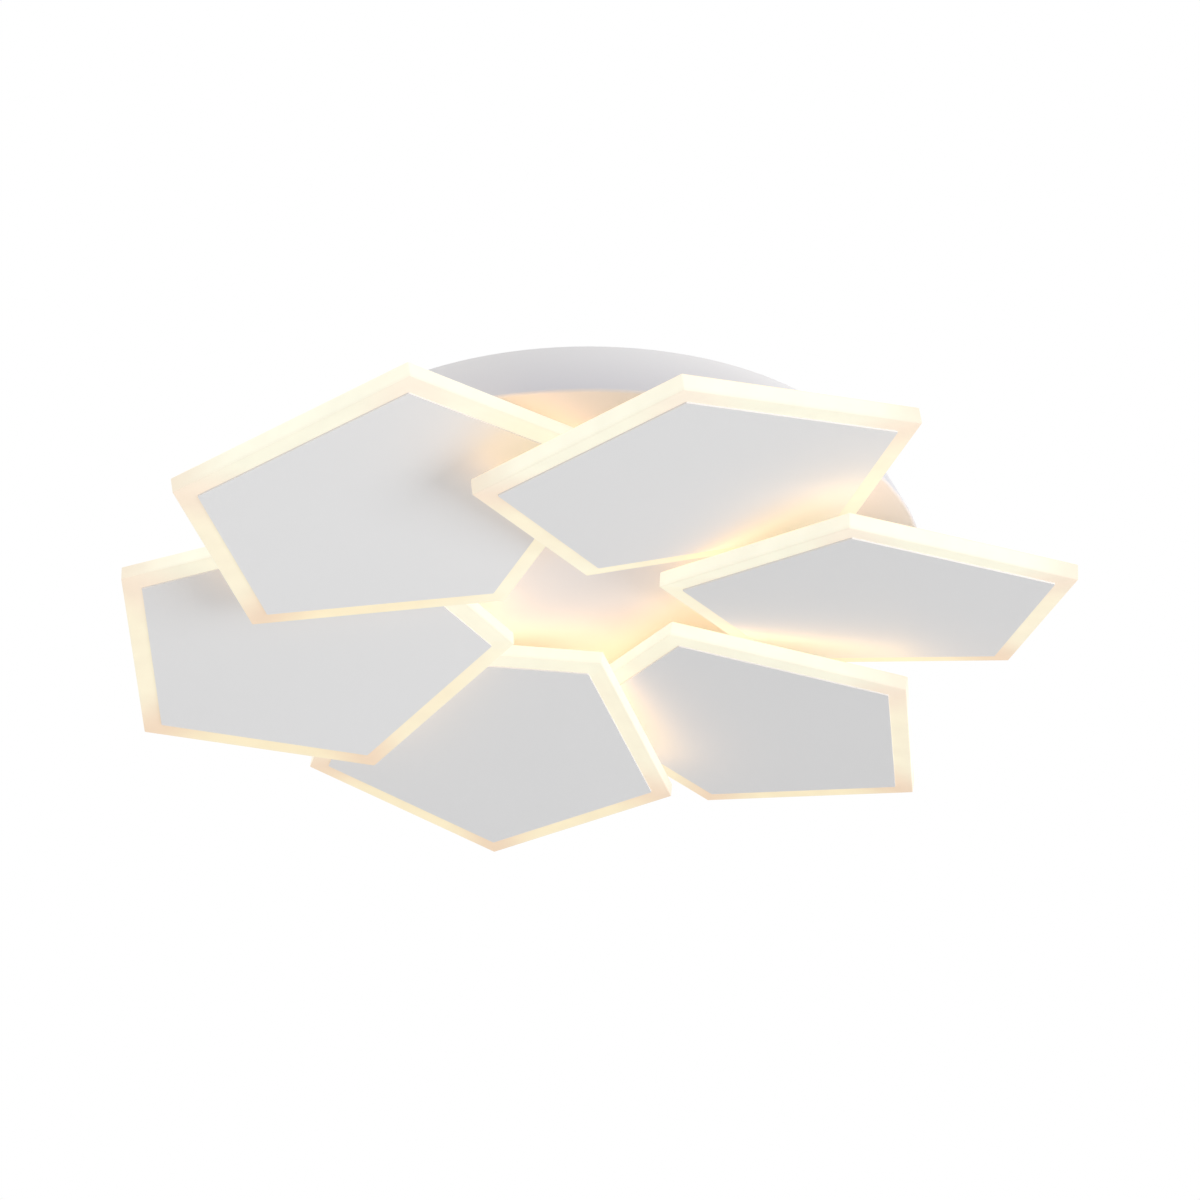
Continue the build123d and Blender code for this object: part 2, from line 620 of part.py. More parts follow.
def make_driver_board():
    length = DRIVER_LENGTH - 2 * (DRIVER_WALL + DRIVER_BOARD_GAP)
    width = DRIVER_WIDTH - 2 * (DRIVER_WALL + DRIVER_BOARD_GAP)
    middle = DRIVER_BOARD_LIFT + DRIVER_BOARD_SHEET / 2
    return driver_frame() * Pos(0, 0, middle) * Box(length, width, DRIVER_BOARD_SHEET)


def make_driver_components():
    """Transformer and lying capacitors on the driver's board."""
    seat = DRIVER_BOARD_LIFT + DRIVER_BOARD_SHEET
    block = Box(TRANSFORMER_SIZE, TRANSFORMER_SIZE, TRANSFORMER_HEIGHT)
    pieces = [Pos(TRANSFORMER_X, 0, seat + TRANSFORMER_HEIGHT / 2) * block]
    for x in CAPACITOR_XS:
        can = Rot(90, 0, 0) * Cylinder(CAPACITOR_RADIUS, CAPACITOR_LENGTH)
        pieces.append(Pos(x, 0, seat + CAPACITOR_RADIUS) * can)
    return [driver_frame() * piece for piece in pieces]


def terminal_way_xs():
    return [(way - (TERMINAL_WAYS - 1) / 2) * TERMINAL_PITCH for way in range(TERMINAL_WAYS)]


def terminal_screw_ys():
    return [side * TERMINAL_SCREW_OFFSET for side in (-1, 1)]


def terminal_frame():
    return Pos(0, TERMINAL_CENTRE_Y, PAN_FLOOR_Z)


def make_terminal_block():
    length = TERMINAL_WAYS * TERMINAL_PITCH
    body = Pos(0, 0, TERMINAL_HEIGHT / 2) * Box(length, TERMINAL_DEPTH, TERMINAL_HEIGHT)
    ears = Box(length + 2 * TERMINAL_EAR_LENGTH, TERMINAL_EAR_LENGTH, TERMINAL_EAR_THICKNESS)
    body += Pos(0, 0, TERMINAL_EAR_THICKNESS / 2) * ears
    for spot in terminal_ear_spots():
        local = Pos(0, -TERMINAL_CENTRE_Y, 0) * spot
        body -= local * rod(STUD_RADIUS + SCREW_HOLE_GAP, 0, TERMINAL_EAR_THICKNESS)
    for x in terminal_way_xs():
        bore = Rot(90, 0, 0) * Cylinder(TERMINAL_BORE_RADIUS, TERMINAL_DEPTH)
        body -= Pos(x, 0, TERMINAL_BORE_HEIGHT) * bore
        for y in terminal_screw_ys():
            well = rod(TERMINAL_SCREW_RADIUS + SCREW_HOLE_GAP, TERMINAL_BORE_HEIGHT, TERMINAL_HEIGHT)
            body -= Pos(x, y, 0) * well
    return terminal_frame() * body


def make_terminal_screws():
    top = TERMINAL_HEIGHT - TERMINAL_SCREW_SUNK
    screw = rod(TERMINAL_SCREW_RADIUS, top - TERMINAL_SCREW_LENGTH, top)
    slot = Box(2 * TERMINAL_SCREW_RADIUS, DRIVE_RECESS_WIDTH, DRIVE_RECESS_DEPTH)
    screw -= Pos(0, 0, top - DRIVE_RECESS_DEPTH / 2) * slot
    spots = [Pos(x, y, 0) for x in terminal_way_xs() for y in terminal_screw_ys()]
    return [terminal_frame() * spot * screw for spot in spots]


def make_pan_screws():
    """Pan head machine screws that reach down through the pan's floor into the bracket feet."""
    top = PAN_FLOOR_Z + PAN_SCREW_HEAD_HEIGHT
    head = rod(PAN_SCREW_HEAD_RADIUS, PAN_FLOOR_Z, top)
    head = fillet(head.edges().group_by(Axis.Z)[-1], PAN_SCREW_HEAD_HEIGHT / 2)
    screw = head + rod(PAN_SCREW_RADIUS, PAN_FLOOR_Z - PAN_SCREW_LENGTH, PAN_FLOOR_Z)
    screw -= cross_recess(top, PAN_SCREW_HEAD_RADIUS)
    return [spot * screw for spot in bracket_screw_spots()]


def make_stud_nuts():
    nuts = []
    for spot, thickness in stud_seats():
        seat = PAN_FLOOR_Z + thickness
        nuts.append(spot * hex_nut(STUD_NUT_ACROSS_FLATS, STUD_RADIUS, seat, seat + STUD_NUT_HEIGHT))
    return nuts


def make_grommets():
    bottom = -PAN_DEPTH - GROMMET_FLANGE_THICKNESS
    top = PAN_FLOOR_Z + GROMMET_FLANGE_THICKNESS
    body = rod(GROMMET_NECK_RADIUS, bottom, top)
    body += rod(GROMMET_FLANGE_RADIUS, bottom, -PAN_DEPTH)
    body += rod(GROMMET_FLANGE_RADIUS, PAN_FLOOR_Z, top)
    rims = body.edges().group_by(Axis.Z)
    body = fillet([e for e in rims[0] + rims[-1] if e.radius > GROMMET_NECK_RADIUS], SLIDE_GAP)
    body -= rod(GROMMET_BORE_RADIUS, bottom, top)
    return [spot * body for spot in grommet_spots()]


def tube(points, radii, start, direction):
    """Round lead along straight runs joined by tangent arcs."""
    path = FilletPolyline(*points, radius=radii)
    section = Plane(origin=start, z_dir=direction) * Circle(LEAD_RADIUS)
    return sweep(section, path)


def lead_ways(start, goal):
    """Points of a gently swaying spiral from a driver port's exit to a petal's grommet."""
    start_angle, goal_angle = (degrees(atan2(point.Y, point.X)) for point in (start, goal))
    start_reach, goal_reach = (sqrt(point.X**2 + point.Y**2) for point in (start, goal))
    swing = (goal_angle - start_angle + 180) % 360 - 180
    count = max(1, round(abs(swing) / LEAD_POINT_STEP))
    ways = []
    for step in range(1, count + 1):
        share = step / (count + 1)
        angle = radians(start_angle + swing * share + LEAD_SWAY * sin(pi * share))
        reach = start_reach + (goal_reach - start_reach) * share
        ways.append(Vector(reach * cos(angle), reach * sin(angle), start.Z))
    return ways


def make_petal_leads():
    """One lead per petal: driver port, pan floor, grommet, hollow bolt, light board."""
    floor = PAN_FLOOR_Z + LEAD_RADIUS + LEAD_LIFT
    port_z = PAN_FLOOR_Z + DRIVER_PORT_HEIGHT
    crest_z = PAN_FLOOR_Z + LEAD_CREST
    leads = []
    for end, row, petal in driver_ports():
        y = DRIVER_CENTRE_Y + row
        port = Vector(end * (DRIVER_LENGTH / 2 - DRIVER_WALL), y, port_z)
        level_exit = Vector(end * (DRIVER_LENGTH / 2 + LEAD_EXIT), y, port_z)
        floor_exit = Vector(end * (DRIVER_LENGTH / 2 + 2 * LEAD_EXIT), y, floor)
        crest = (level_frame(petal) * Pos(axis_shift(crest_z), 0, crest_z)).position
        turn = (turned_frame(petal) * Pos(0, 0, LEAD_TAIL_HEIGHT)).position
        tail = (turned_frame(petal) * Pos(-LEAD_TAIL, 0, LEAD_TAIL_HEIGHT)).position
        ways = lead_ways(floor_exit, crest)
        points = [port, level_exit, floor_exit, *ways, crest, turn, tail]
        radii = [LEAD_BEND] * (len(ways) + 2) + [LEAD_CREST_BEND, LEAD_TAIL_BEND]
        leads.append(tube(points, radii, port, (end, 0, 0)))
    return leads


def make_supply_leads():
    """Live and neutral from the terminal block to the driver, and earth to its tag."""
    port_z = PAN_FLOOR_Z + DRIVER_PORT_HEIGHT
    block_z = PAN_FLOOR_Z + TERMINAL_BORE_HEIGHT
    block_y = TERMINAL_CENTRE_Y + TERMINAL_DEPTH / 2 - TERMINAL_SCREW_OFFSET / 2
    case_y = DRIVER_CENTRE_Y - DRIVER_WIDTH / 2 + DRIVER_WALL
    middle_y = (block_y + case_y) / 2
    leads = []
    for x in supply_port_xs():
        sway = LEAD_BEND / 3
        points = [
            (x, block_y, block_z),
            (x, middle_y - LEAD_BEND, block_z),
            (x - sway, middle_y, port_z),
            (x, middle_y + LEAD_BEND, port_z),
            (x, case_y, port_z),
        ]
        leads.append(tube(points, [LEAD_BEND] * 3, points[0], (0, 1, 0)))
    x = terminal_way_xs()[-1]
    tag_z = PAN_FLOOR_Z + LEAD_RADIUS + LEAD_LIFT
    reach_y = TERMINAL_CENTRE_Y + TERMINAL_DEPTH
    earth_x, earth_y = EARTH_POINT
    points = [
        (x, block_y, block_z),
        (x, reach_y, block_z),
        (earth_x, reach_y, tag_z),
        (earth_x, earth_y + EARTH_TAG_RADIUS - EARTH_LEAD_LAP, tag_z),
    ]
    lead = tube(points, [LEAD_BEND / 2] * 2, points[0], (0, 1, 0))
    tag = rod(EARTH_TAG_RADIUS, 0, EARTH_TAG_SHEET) - rod(STUD_RADIUS + SCREW_HOLE_GAP, 0, EARTH_TAG_SHEET)
    tag = Pos(earth_x, earth_y, PAN_FLOOR_Z) * tag
    return leads + [lead + tag]


def save(name, pieces):
    """Writes one node, a single solid or a group of separate ones."""
    shape = Compound(children=list(pieces)) if isinstance(pieces, list) else pieces
    export_step(shape, f"parts/{name}.step")


def main():
    os.makedirs("parts", exist_ok=True)
    turned_pieces = {
        "face_plate": make_face_plate(),
        "light_guide": make_light_guide(),
        "back_plate": make_back_plate(),
        "led_board": make_led_board(),
        "led_chips": make_led_chips(),
        "back_screws": make_back_screws(),
    }
    for index in range(PETAL_COUNT):
        place = turned_frame(index)
        for name, piece in turned_pieces.items():
            moved = [place * item for item in piece] if isinstance(piece, list) else place * piece
            save(f"{name}_{index + 1}", moved)
        save(f"petal_bracket_{index + 1}", make_bracket(index))
    frames = [petal_frame(index) for index in range(PETAL_COUNT)]
    save("pivot_bolts", [frame * make_pivot_bolt() for frame in frames])
    save("friction_washers", [frame * make_friction_washer() for frame in frames])
    save("lock_nuts", [frame * make_lock_nut() for frame in frames])
    save("canopy_pan", make_pan())
    save("ceiling_crossbar", make_crossbar())
    save("side_screws", make_side_screws())
    save("pan_screws", make_pan_screws())
    save("driver_case", make_driver_case())
    save("driver_cover", make_driver_cover())
    save("driver_board", make_driver_board())
    save("driver_components", make_driver_components())
    save("terminal_block", make_terminal_block())
    save("terminal_screws", make_terminal_screws())
    save("stud_nuts", make_stud_nuts())
    save("lead_grommets", make_grommets())
    save("petal_leads", make_petal_leads())
    save("supply_leads", make_supply_leads())


main()
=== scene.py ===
import bpy
import bmesh
import json
from math import cos, pi, radians, sin, tan
from mathutils import Matrix, Vector

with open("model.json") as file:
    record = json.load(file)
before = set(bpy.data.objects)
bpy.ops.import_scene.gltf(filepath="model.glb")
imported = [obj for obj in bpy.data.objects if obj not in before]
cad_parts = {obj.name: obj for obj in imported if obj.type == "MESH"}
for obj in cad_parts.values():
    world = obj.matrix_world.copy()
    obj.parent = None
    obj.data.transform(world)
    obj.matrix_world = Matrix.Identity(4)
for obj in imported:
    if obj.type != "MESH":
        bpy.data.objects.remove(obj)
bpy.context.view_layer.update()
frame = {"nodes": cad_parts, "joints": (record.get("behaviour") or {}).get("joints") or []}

# Petal sizes in metres; heights run from the face plate's front towards the pan
GUIDE_SIDE = 0.160
GUIDE_APOTHEM = GUIDE_SIDE / 2 / tan(pi / 5)
CORNER_RADIUS = GUIDE_SIDE / 2 / sin(pi / 5)
GUIDE_FRONT = 0.001
GUIDE_BACK = 0.011
EDGE_NORMALS = [(cos(radians(angle)), sin(radians(angle)), 0.0) for angle in range(36, 360, 72)]

# How far the rim's glow changes over from face to face, from edge to edge and near a corner
FACE_FADE = 0.0006
EDGE_FADE = 0.006
CORNER_FADE = 0.045

# Horizontal direction in which the rims shine palest
PALE_SIDE = Vector((-0.37, -0.93, 0.0))

# Levels of the pan in metres, counted from the ceiling
PAN_TOP = -0.001
PAN_RIM = -0.043
PAN_FLOOR_FADE = (-0.0412, -0.0422)

# Room, in metres: the floor lies far below the light
FLOOR_LEVEL = -2.5
FLOOR_REACH = 30.0
FLOOR_WHITE_SHARE = 0.93
ROOM_LIGHT = (0.79, 0.79, 0.795, 1)
WHITE = (1, 1, 1, 1)
BLACK = (0, 0, 0, 1)

# Camera as found from the six pentagons of the photograph
CAMERA_PLACE = (-0.54746, -1.34649, -0.87657)
CAMERA_FORWARD = Vector((0.33380, 0.80510, 0.49030))
CAMERA_DOWN = Vector((0.17221, 0.45929, -0.87143))
CAMERA_SENSOR = 36.0
CAMERA_LENS = 77.592
CAMERA_CLIP = 60.0


# Node helpers


class Sheet:
    """One node tree under construction, for a material, a group or the world."""

    def __init__(self, tree):
        self.tree = tree
        self.tree.nodes.clear()

    def feed(self, node, **inputs):
        """Sets or links inputs of a node; n0 is its first one, and _ stands for a space."""
        for key, value in inputs.items():
            by_number = key[0] == "n" and key[1:].isdigit()
            target = node.inputs[int(key[1:]) if by_number else key.replace("_", " ")]
            if isinstance(value, bpy.types.NodeSocket):
                self.tree.links.new(value, target)
            else:
                target.default_value = value

    def add(self, kind, settings=None, **inputs):
        node = self.tree.nodes.new(kind)
        for key, value in (settings or {}).items():
            setattr(node, key, value)
        self.feed(node, **inputs)
        return node

    def group(self, name, **inputs):
        settings = {"node_tree": bpy.data.node_groups[name]}
        return self.add("ShaderNodeGroup", settings, **inputs).outputs

    def math(self, operation, a, b=0.0, clamp=False):
        settings = {"operation": operation, "use_clamp": clamp}
        return self.add("ShaderNodeMath", settings, n0=a, n1=b).outputs[0]

    def largest(self, values):
        most = values[0]
        for value in values[1:]:
            most = self.math("MAXIMUM", most, value)
        return most

    def between(self, low, high, share):
        """Number that runs from low to high with a share."""
        spread = self.math("SUBTRACT", high, low)
        return self.math("ADD", low, self.math("MULTIPLY", spread, share))

    def dot(self, a, b):
        node = self.add("ShaderNodeVectorMath", {"operation": "DOT_PRODUCT"}, n0=a, n1=b)
        return node.outputs["Value"]

    def split(self, vector):
        return self.add("ShaderNodeSeparateXYZ", Vector=vector).outputs

    def squared_reach(self, x, y):
        """Square of the distance from the middle axis."""
        return self.math("ADD", self.math("MULTIPLY", x, x), self.math("MULTIPLY", y, y))

    def ramp(self, value, low, high, start=0.0, end=1.0, kind="SMOOTHSTEP"):
        node = self.add(
            "ShaderNodeMapRange", {"interpolation_type": kind},
            Value=value, From_Min=low, From_Max=high, To_Min=start, To_Max=end,
        )
        return node.outputs["Result"]

    def blend(self, share, a, b, kind="MIX"):
        settings = {"data_type": "RGBA", "blend_type": kind, "clamp_factor": True}
        return self.add("ShaderNodeMix", settings, n0=share, n6=a, n7=b).outputs[2]

    def toned(self, colour, tone):
        """Colour made paler or darker by a number close to 1."""
        shade = self.add("ShaderNodeCombineColor", n0=tone, n1=tone, n2=tone).outputs[0]
        return self.blend(1.0, colour, shade, "MULTIPLY")

    def noise(self, vector, scale, detail=2.0, roughness=0.5):
        node = self.add(
            "ShaderNodeTexNoise", Vector=vector, Scale=scale, Detail=detail, Roughness=roughness
        )
        return node.outputs["Fac"]

    def in_petal(self, place, centre, turn):
        """Place counted in the axes of a petal."""
        settings = {"vector_type": "TEXTURE"}
        node = self.add("ShaderNodeMapping", settings, Vector=place, Location=centre, Rotation=turn)
        return node.outputs[0]

    def to_eye(self, *more):
        """1 on rays that come from the camera, straight or by a reflection, else 0."""
        rays = self.add("ShaderNodeLightPath").outputs
        return self.largest([rays[name] for name in ("Is Camera Ray", "Is Glossy Ray", *more)])

    def mix_shaders(self, output, share, a, b):
        mixed = self.add("ShaderNodeMixShader", n0=share, n1=a.outputs[0], n2=b.outputs[0])
        self.add(output, n0=mixed.outputs[0])


def rgb(red, green, blue):
    """Linear colour of a surface from its usual 0 to 255 values."""
    def linear(value):
        value /= 255
        return value / 12.92 if value <= 0.04045 else ((value + 0.055) / 1.055) ** 2.4
    return (linear(red), linear(green), linear(blue), 1.0)


SOCKETS = {
    "number": "NodeSocketFloat",
    "vector": "NodeSocketVector",
    "colour": "NodeSocketColor",
}
SURFACE_OUTPUTS = (("Colour", "colour"), ("Roughness", "number"), ("Height", "number"))


def new_group(name, inputs, outputs=SURFACE_OUTPUTS):
    """Empty shader group; returns its sheet, its inputs and the node that takes its results."""
    tree = bpy.data.node_groups.new(name, "ShaderNodeTree")
    for label, kind, default in inputs:
        socket = tree.interface.new_socket(label, in_out="INPUT", socket_type=SOCKETS[kind])
        if default is not None:
            socket.default_value = default
    for label, kind in outputs:
        tree.interface.new_socket(label, in_out="OUTPUT", socket_type=SOCKETS[kind])
    sheet = Sheet(tree)
    given = sheet.add("NodeGroupInput").outputs
    result = sheet.add("NodeGroupOutput")
    return sheet, given, result


def new_material(name):
    """Material with its Principled surface; returns its sheet, its surface and the place too."""
    material = bpy.data.materials.new(name)
    material.use_nodes = True
    sheet = Sheet(material.node_tree)
    surface = sheet.add("ShaderNodeBsdfPrincipled")
    sheet.add("ShaderNodeOutputMaterial", n0=surface.outputs[0])
    place = sheet.add("ShaderNodeTexCoord").outputs["Object"]
    return material, sheet, surface, place


def bump(sheet, surface, height, strength, distance):
    node = sheet.add("ShaderNodeBump", Height=height, Strength=strength, Distance=distance)
    sheet.feed(surface, Normal=node.outputs[0])


def coat(sheet, surface, look, strength, distance):
    """Gives a surface the colour, roughness and relief of a shared effect."""
    sheet.feed(surface, Base_Color=look["Colour"], Roughness=look["Roughness"])
    bump(sheet, surface, look["Height"], strength, distance)


# Shared effects


def make_powder_paint_group():
    """Orange peel, fine grain and slight cloudiness of sprayed powder paint."""
    sheet, given, result = new_group(
        "powder paint",
        [
            ("Vector", "vector", None),
            ("Colour", "colour", (0.8, 0.8, 0.8, 1)),
            ("Cloudiness", "number", 0.03),
        ],
    )
    peel = sheet.noise(given["Vector"], scale=420.0, roughness=0.45)
    grain = sheet.noise(given["Vector"], scale=2600.0, detail=1.0)
    cloud = sheet.noise(given["Vector"], scale=9.0, detail=3.0)
    height = sheet.math("ADD", peel, sheet.math("MULTIPLY", grain, 0.25))
    swing = sheet.math("MULTIPLY", sheet.math("SUBTRACT", cloud, 0.5), given["Cloudiness"])
    fleck = sheet.math("MULTIPLY", sheet.math("SUBTRACT", grain, 0.5), 0.02)
    tone = sheet.math("ADD", 1.0, sheet.math("ADD", swing, fleck))
    roughness = sheet.ramp(cloud, 0.3, 0.7, 0.42, 0.5, "LINEAR")
    colour = sheet.toned(given["Colour"], tone)
    sheet.feed(result, Colour=colour, Roughness=roughness, Height=height)


def make_drawn_metal_group():
    """Drawn lines, spots of wear and slight staining of plated or rolled metal."""
    sheet, given, result = new_group(
        "drawn metal",
        [
            ("Vector", "vector", None),
            ("Colour", "colour", (0.7, 0.7, 0.7, 1)),
            ("Stretch", "vector", (900, 900, 60)),
            ("Stain", "number", 0.12),
            ("Smooth", "number", 0.28),
            ("Rough", "number", 0.46),
        ],
    )
    drawn = sheet.add(
        "ShaderNodeVectorMath", {"operation": "MULTIPLY"}, n0=given["Vector"], n1=given["Stretch"]
    )
    lines = sheet.noise(drawn.outputs[0], scale=1.0, detail=3.0, roughness=0.6)
    stains = sheet.noise(given["Vector"], scale=55.0, detail=3.0, roughness=0.55)
    dark = sheet.math("MULTIPLY", sheet.ramp(stains, 0.42, 0.68), given["Stain"])
    tone = sheet.math("SUBTRACT", sheet.ramp(lines, 0.25, 0.75, 0.93, 1.05, "LINEAR"), dark)
    line_share = sheet.math("MULTIPLY", sheet.ramp(lines, 0.3, 0.7), 0.6)
    stain_share = sheet.math("MULTIPLY", sheet.ramp(stains, 0.4, 0.65), 0.4)
    worn = sheet.math("ADD", line_share, stain_share)
    roughness = sheet.between(given["Smooth"], given["Rough"], worn)
    colour = sheet.toned(given["Colour"], tone)
    sheet.feed(result, Colour=colour, Roughness=roughness, Height=lines)


def make_moulded_plastic_group():
    """Spark eroded texture and faint flow shading of moulded plastic or rubber."""
    sheet, given, result = new_group(
        "moulded plastic",
        [
            ("Vector", "vector", None),
            ("Colour", "colour", (0.8, 0.8, 0.8, 1)),
            ("Texture scale", "number", 1500.0),
            ("Smooth", "number", 0.4),
            ("Rough", "number", 0.6),
        ],
    )
    cells = sheet.add(
        "ShaderNodeTexVoronoi", {"feature": "SMOOTH_F1"},
        Vector=given["Vector"], Scale=given["Texture scale"],
    )
    flow = sheet.noise(given["Vector"], scale=24.0)
    roughness = sheet.between(given["Smooth"], given["Rough"], flow)
    colour = sheet.toned(given["Colour"], sheet.ramp(flow, 0.3, 0.7, 0.965, 1.03, "LINEAR"))
    sheet.feed(result, Colour=colour, Roughness=roughness, Height=cells.outputs["Distance"])


def make_rim_glow_group():
    """Where a point of a light guide lies, and how warmly and strongly it glows there."""
    sheet, given, result = new_group(
        "rim glow",
        [
            ("Petal place", "vector", None),
            ("Pale side", "vector", (1, 0, 0)),
            ("Inner side", "vector", (1, 0, 0)),
            ("Object place", "vector", None),
        ],
        [("Glow", "colour"), ("Cast light", "colour"), ("Tint", "colour"), ("Height", "number")],
    )
    place = given["Petal place"]
    x, y, height = sheet.split(place)
    reaches = [sheet.dot(place, normal) for normal in EDGE_NORMALS]
    widest = sheet.largest(reaches)
    inward = sheet.math("SUBTRACT", GUIDE_APOTHEM, widest)

    # How much the nearest edge faces the pale side, from -1 to 1; at a corner two edges count
    total, facing = 0.0, 0.0
    for reach, normal in zip(reaches, EDGE_NORMALS):
        near = sheet.math("ADD", sheet.math("SUBTRACT", reach, widest), EDGE_FADE)
        near = sheet.math("MULTIPLY", near, 1 / EDGE_FADE, clamp=True)
        total = sheet.math("ADD", total, near)
        faced = sheet.math("MULTIPLY", near, sheet.dot(given["Pale side"], normal))
        facing = sheet.math("ADD", facing, faced)
    facing = sheet.math("DIVIDE", facing, total)

    # 1 on the pale side of the petal, -1 on the far side
    toward = sheet.math("MULTIPLY", sheet.dot(given["Pale side"], place), 1 / CORNER_RADIUS)
    # 1 at the corner in the middle of the whole light, -1 on the outside
    inner = sheet.math("MULTIPLY", sheet.dot(given["Inner side"], place), 1 / CORNER_RADIUS)

    # 1 at the corners, by the distance along the edge, but 0 at the inner one
    widest_squared = sheet.math("MULTIPLY", widest, widest)
    along = sheet.math("SUBTRACT", sheet.squared_reach(x, y), widest_squared)
    along = sheet.math("SQRT", sheet.math("MAXIMUM", along, 0.0))
    to_corner = sheet.math("SUBTRACT", sheet.math("MULTIPLY", widest, tan(pi / 5)), along)
    corner = sheet.ramp(to_corner, 0.0, CORNER_FADE, 1.0, 0.0)
    corner = sheet.math("MULTIPLY", corner, sheet.ramp(inner, 0.9, 0.6))

    def by_face(front, side, back):
        """Colour of the front rim, the side walls or the back face, by the height."""
        colour = sheet.blend(sheet.ramp(height, GUIDE_FRONT, GUIDE_FRONT + FACE_FADE), front, side)
        return sheet.blend(sheet.ramp(height, GUIDE_BACK - FACE_FADE, GUIDE_BACK), colour, back)

    # Front rim: pale on one side, cream across, orange on the other, peach towards the corners
    pale, cream, orange = (0.68, 0.66, 0.52, 1), (0.69, 0.615, 0.44, 1), (0.69, 0.575, 0.345, 1)
    outline, inner_corner = (0.64, 0.59, 0.46, 1), (0.71, 0.68, 0.51, 1)
    peach, pale_peach = (0.655, 0.53, 0.41, 1), (0.68, 0.595, 0.48, 1)
    deep_peach = (0.58, 0.41, 0.27, 1)
    front = sheet.blend(sheet.ramp(facing, 0.0, 0.8), cream, pale)
    front = sheet.blend(sheet.ramp(facing, -0.3, -0.95), front, orange)
    front = sheet.blend(sheet.ramp(inward, 0.0, 0.003, 0.3, 0.0), front, outline)
    front_corner = sheet.blend(sheet.ramp(toward, 0.6, 0.9), peach, pale_peach)
    front_corner = sheet.blend(sheet.ramp(toward, 0.4, -0.6), front_corner, deep_peach)
    front = sheet.blend(sheet.math("MULTIPLY", corner, 0.85), front, front_corner)
    front = sheet.blend(sheet.ramp(inner, 0.55, 1.0, 0.0, 0.7), front, inner_corner)

    # Side walls: bright, warmer at the corners and towards the front rim
    bright, front_edge = (0.76, 0.74, 0.60, 1), (0.70, 0.66, 0.53, 1)
    warm_corner = (0.66, 0.58, 0.45, 1)
    side = sheet.blend(sheet.ramp(height, 0.0011, 0.0036, 0.6, 0.0), bright, front_edge)
    shaded = sheet.math("MULTIPLY", corner, sheet.ramp(toward, 0.9, 0.6, 0.0, 0.9))
    side = sheet.blend(shaded, side, warm_corner)

    # Back face: strong and yellow, weaker at the corners
    yellow, weak_yellow = (1.15, 0.80, 0.36, 1), (0.7, 0.55, 0.38, 1)
    back = sheet.blend(sheet.math("MULTIPLY", corner, 0.7), yellow, weak_yellow)

    # Light that the faces throw on their neighbours and on the pan
    front_share = sheet.ramp(inward, 0.0075, 0.009)
    cast_front = sheet.blend(front_share, (1.6, 1.2, 0.9, 1), (0.7, 0.6, 0.5, 1))
    side_share = sheet.ramp(facing, -0.7, 0.1)
    cast_side = sheet.blend(side_share, (0.9, 0.7, 0.5, 1), (1.85, 1.22, 0.82, 1))
    back_share = sheet.ramp(facing, -1.0, 1.0, 0.0, 1.0, "LINEAR")
    cast_back = sheet.blend(back_share, (1.55, 1.08, 0.78, 1), (1.85, 1.34, 0.80, 1))

    haze = sheet.noise(given["Object place"], scale=60.0)
    haze = sheet.ramp(haze, 0.3, 0.7, 0.97, 1.03, "LINEAR")
    frost = sheet.noise(given["Object place"], scale=3200.0, roughness=0.6)
    sheet.feed(
        result,
        Glow=sheet.toned(by_face(front, side, back), haze),
        Cast_light=by_face(cast_front, cast_side, cast_back),
        Tint=sheet.blend(corner, (0.30, 0.29, 0.26, 1), (0.31, 0.28, 0.25, 1)),
        Height=frost,
    )


# Finishes


def spray(sheet, surface, place, colour, cloudiness):
    """Powder paint on a surface; returns its clouded colour."""
    look = sheet.group("powder paint", Vector=place, Colour=colour, Cloudiness=cloudiness)
    coat(sheet, surface, look, strength=0.18, distance=0.00012)
    sheet.feed(surface, Specular_IOR_Level=0.35)
    return look["Colour"]


def finish_paint(name, colour, cloudiness):
    material, sheet, surface, place = new_material(name)
    spray(sheet, surface, place, colour, cloudiness)
    return material


def finish_back_paint_and_glow():
    """White paint of the back plates, with a painted glow: a soft warm light, given off onto their
    neighbours and the pan in place of the light they catch.
    """
    material, sheet, surface, place = new_material("back paint and painted glow")
    clouded = spray(sheet, surface, place, rgb(240, 240, 238), cloudiness=0.03)
    # Painted glow: the clouded paint colour, warmed, is given off as light that is never seen
    # straight on or in a reflection
    painted_glow = sheet.blend(1.0, clouded, (0.46, 0.36, 0.17, 1), "MULTIPLY")
    light = sheet.blend(sheet.to_eye(), painted_glow, BLACK)
    sheet.feed(surface, Emission_Color=light, Emission_Strength=1.0)
    return material


def finish_pan():
    """Pan paint with painted shade: the wall greys a little from the ceiling to the lower rim, and
    the floor carries painted light, palest in its middle.
    """
    material, sheet, surface, place = new_material("pan paint and painted shade")
    x, y, level = sheet.split(place)
    # Painted shade: the wall darkens a little from the ceiling down to the lower rim
    painted_wall_shade = sheet.ramp(level, PAN_TOP, PAN_RIM, 0.0, 1.0, "LINEAR")
    wall = sheet.blend(painted_wall_shade, rgb(232, 231, 232), rgb(215, 214, 219))
    # Painted light: the floor is palest in its middle and greyer outward
    painted_floor_light = sheet.ramp(sheet.squared_reach(x, y), 0.008, 0.024)
    floor = sheet.blend(painted_floor_light, rgb(236, 232, 230), rgb(217, 213, 215))
    colour = sheet.blend(sheet.ramp(level, *PAN_FLOOR_FADE), wall, floor)
    spray(sheet, surface, place, colour, cloudiness=0.03)
    return material


